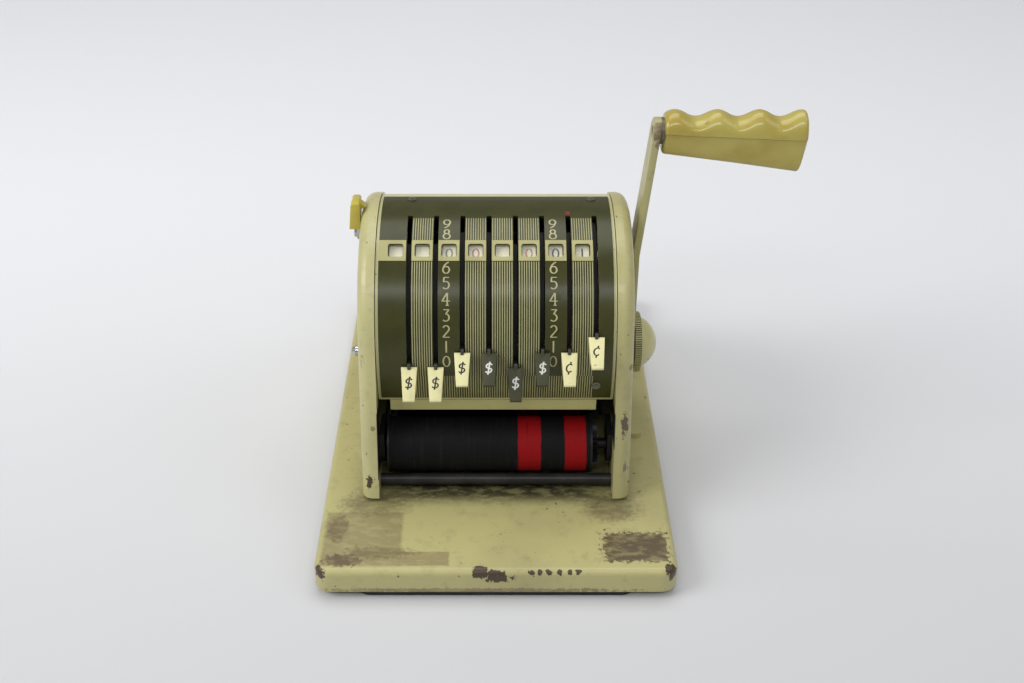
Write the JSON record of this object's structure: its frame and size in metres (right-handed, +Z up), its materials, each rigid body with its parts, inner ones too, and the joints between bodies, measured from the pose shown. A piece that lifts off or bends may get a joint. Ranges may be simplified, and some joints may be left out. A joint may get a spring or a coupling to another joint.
{
  "type": "check writer",
  "caption": "Desk check writer: curved slotted head with setting levers and windows, ribbon drum in front, swinging side handle, on a flat rectangular base.",
  "frame": {"origin": "middle of the base's footprint, on the surface that the machine stands on", "axes": "+X to the handle's side, +Y to the back, +Z up; the slotted face looks along -Y"},
  "size_m": [0.2374, 0.262, 0.1883],
  "materials": {
    "enamel": "worn cream-olive enamel",
    "cover": "cream enamel, glossy",
    "face": "dark olive enamel with fine cream lines, glossy",
    "frame_cream": "cream, raised round the windows",
    "lens": "clear windows",
    "yellow": "butter-yellow moulding, glossy",
    "tab_cream": "cream moulding with a black sign",
    "tab_dark": "dark olive-grey moulding with a white sign",
    "steel": "plain steel",
    "dark_steel": "blackened steel",
    "type_steel": "type sectors with figure strips",
    "bronze": "oiled bronze bush",
    "ribbon": "inked ribbon, black with red bands",
    "spool": "black moulding",
    "pad": "black rubber"
  },
  "bodies": {
    "frame": {"base": "enamel", "bottom_plate": "dark_steel", "base_pad": "pad", "plate_screws": "steel", "left_casting": "enamel", "right_casting": "enamel", "cover": "cover", "rear_panel": "enamel", "face_plate": "face", "window_frames": "frame_cream", "window_lenses": "lens", "front_bar": "cover", "guide_rod": "dark_steel", "sector_shaft": "steel", "shaft_spacers": "steel", "detent_bar": "dark_steel", "detent_springs": "steel", "tie_rod": "steel", "check_stop": "steel", "rack_guides": "dark_steel", "shaft_bushes": "bronze", "spool_bearings": "spool", "side_gauge": "enamel", "face_screws": "steel", "case_screws": "steel", "ribbon_run": "ribbon", "return_spring": "steel", "lever_post": "steel"},
    "handle": {"handle_shaft": "steel", "lift_pinions": "steel", "handle_arm": "enamel", "hub_ring": "enamel", "hub_cap": "tab_cream", "grip": "yellow", "grip_collar": "dark_steel"},
    "platen": {"platen_carriage": "steel", "platen_pad": "pad"},
    "lever_1": {"sector_1": "type_steel", "tab_1": "tab_cream"},
    "lever_2": {"sector_2": "type_steel", "tab_2": "tab_cream"},
    "lever_3": {"sector_3": "type_steel", "tab_3": "tab_cream"},
    "lever_4": {"sector_4": "type_steel", "tab_4": "tab_dark"},
    "lever_5": {"sector_5": "type_steel", "tab_5": "tab_dark"},
    "lever_6": {"sector_6": "type_steel", "tab_6": "tab_dark"},
    "lever_7": {"sector_7": "type_steel", "tab_7": "tab_cream"},
    "lever_8": {"sector_8": "type_steel", "tab_8": "tab_cream"},
    "supply": {"supply_spool": "spool", "supply_ribbon": "ribbon", "ratchet_wheel": "spool"},
    "takeup": {"takeup_spool": "spool", "takeup_ribbon": "ribbon"},
    "release": {"release_lever": "steel", "release_tab": "yellow"}
  },
  "joints": [
    {"name": "handle_swing", "type": "hinge", "parent": "frame", "child": "handle", "pos_m": [0, 0.0008, 0.058], "axis": [1, 0, 0], "range_deg": [0, 70], "stiffness_Nm_per_rad": 0.2, "springref_deg": -20.05},
    {"name": "platen_lift", "type": "slide", "parent": "frame", "child": "platen", "axis": [0, 0, 1], "range_m": [0, 0.011]},
    {"name": "lever_1_set", "type": "hinge", "parent": "frame", "child": "lever_1", "pos_m": [0, -0.0042, 0.083], "axis": [-1, 0, 0], "range_deg": [0, 74.6]},
    {"name": "lever_2_set", "type": "hinge", "parent": "frame", "child": "lever_2", "pos_m": [0, -0.0042, 0.083], "axis": [-1, 0, 0], "range_deg": [0, 74.6]},
    {"name": "lever_3_set", "type": "hinge", "parent": "frame", "child": "lever_3", "pos_m": [0, -0.0042, 0.083], "axis": [-1, 0, 0], "range_deg": [-7.46, 67.14]},
    {"name": "lever_4_set", "type": "hinge", "parent": "frame", "child": "lever_4", "pos_m": [0, -0.0042, 0.083], "axis": [-1, 0, 0], "range_deg": [-7.46, 67.14]},
    {"name": "lever_5_set", "type": "hinge", "parent": "frame", "child": "lever_5", "pos_m": [0, -0.0042, 0.083], "axis": [-1, 0, 0], "range_deg": [0, 74.6]},
    {"name": "lever_6_set", "type": "hinge", "parent": "frame", "child": "lever_6", "pos_m": [0, -0.0042, 0.083], "axis": [-1, 0, 0], "range_deg": [-7.46, 67.14]},
    {"name": "lever_7_set", "type": "hinge", "parent": "frame", "child": "lever_7", "pos_m": [0, -0.0042, 0.083], "axis": [-1, 0, 0], "range_deg": [-7.46, 67.14]},
    {"name": "lever_8_set", "type": "hinge", "parent": "frame", "child": "lever_8", "pos_m": [0, -0.0042, 0.083], "axis": [-1, 0, 0], "range_deg": [-14.92, 59.68]},
    {"name": "release_swing", "type": "hinge", "parent": "frame", "child": "release", "pos_m": [-0.0675, -0.0057, 0.1275], "axis": [1, 0, 0], "range_deg": [-12, 12]},
    {"name": "supply_spin", "type": "hinge", "parent": "frame", "child": "supply", "pos_m": [0, -0.0562, 0.034], "axis": [1, 0, 0], "continuous": true},
    {"name": "takeup_spin", "type": "hinge", "parent": "frame", "child": "takeup", "pos_m": [0, 0.0653, 0.0375], "axis": [1, 0, 0], "continuous": true}
  ],
  "couplings": [
    {"joint": "platen_lift", "follows": "handle_swing", "m_per_rad": 0.009},
    {"joint": "takeup_spin", "follows": "supply_spin", "ratio": 1.38}
  ]
}
